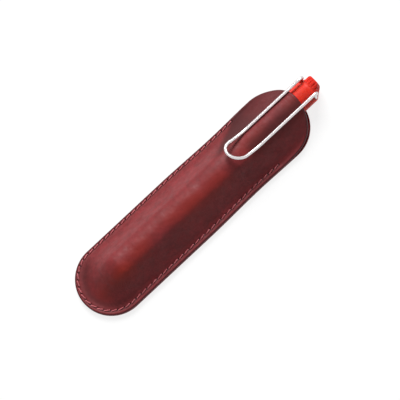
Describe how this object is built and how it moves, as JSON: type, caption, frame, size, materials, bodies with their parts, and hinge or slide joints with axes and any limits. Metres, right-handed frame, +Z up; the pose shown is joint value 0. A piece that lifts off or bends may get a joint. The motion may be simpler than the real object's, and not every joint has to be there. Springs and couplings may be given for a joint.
{
  "type": "single pen sleeve",
  "caption": "Slim stitched leather sleeve with a closed round end and a round open mouth, holding one capped pen whose wire clip hooks over the front panel.",
  "frame": {"origin": "under the middle of the sleeve with its pen, on the outer face of the flat back panel", "axes": "+X along the sleeve from its closed end to its mouth, +Y across it, +Z up from the back panel towards the clip"},
  "size_m": [0.1684, 0.0394, 0.0231],
  "materials": {
    "front_leather": "waxed, darker towards the edges",
    "back_leather": "waxed outside, smooth inside, edges painted",
    "seam_thread": "waxed sewing thread",
    "pen_red": "polished",
    "crown_red": "polished, fluted",
    "grip_black": "satin grip",
    "ring_rubber": "matt",
    "ink_blue": "translucent, full of ink",
    "feed_black": "moulded",
    "nib_steel": "polished",
    "inner_cap_grey": "moulded",
    "clip_chrome": "bright"
  },
  "bodies": {
    "sleeve": {"back_panel": "back_leather", "front_panel": "front_leather", "needle_thread": "seam_thread", "bobbin_thread": "seam_thread"},
    "pen_barrel": {"barrel": "pen_red"},
    "pen_section": {"grip_section": "grip_black", "cap_stop_ring": "ring_rubber", "ink_cartridge": "ink_blue", "feed": "feed_black", "nib": "nib_steel"},
    "pen_cap": {"cap_tube": "pen_red", "inner_cap": "inner_cap_grey", "cap_crown": "crown_red"},
    "clip": {"wire_clip": "clip_chrome"}
  },
  "joints": [
    {"name": "pen_slide", "type": "slide", "parent": "sleeve", "child": "pen_barrel", "axis": [1, 0, 0], "range_m": [0, 0.135]},
    {"name": "barrel_off", "type": "slide", "parent": "pen_barrel", "child": "pen_section", "axis": [1, 0, 0], "range_m": [0, 0.05]},
    {"name": "cap_off", "type": "slide", "parent": "pen_section", "child": "pen_cap", "axis": [1, 0, 0], "range_m": [0, 0.052]},
    {"name": "clip_flex", "type": "hinge", "parent": "pen_cap", "child": "clip", "pos_m": [0.0783, 0, 0.0108], "axis": [0, 1, 0], "range_deg": [0, 5], "stiffness_Nm_per_rad": 0.5, "springref_deg": -2.86}
  ]
}
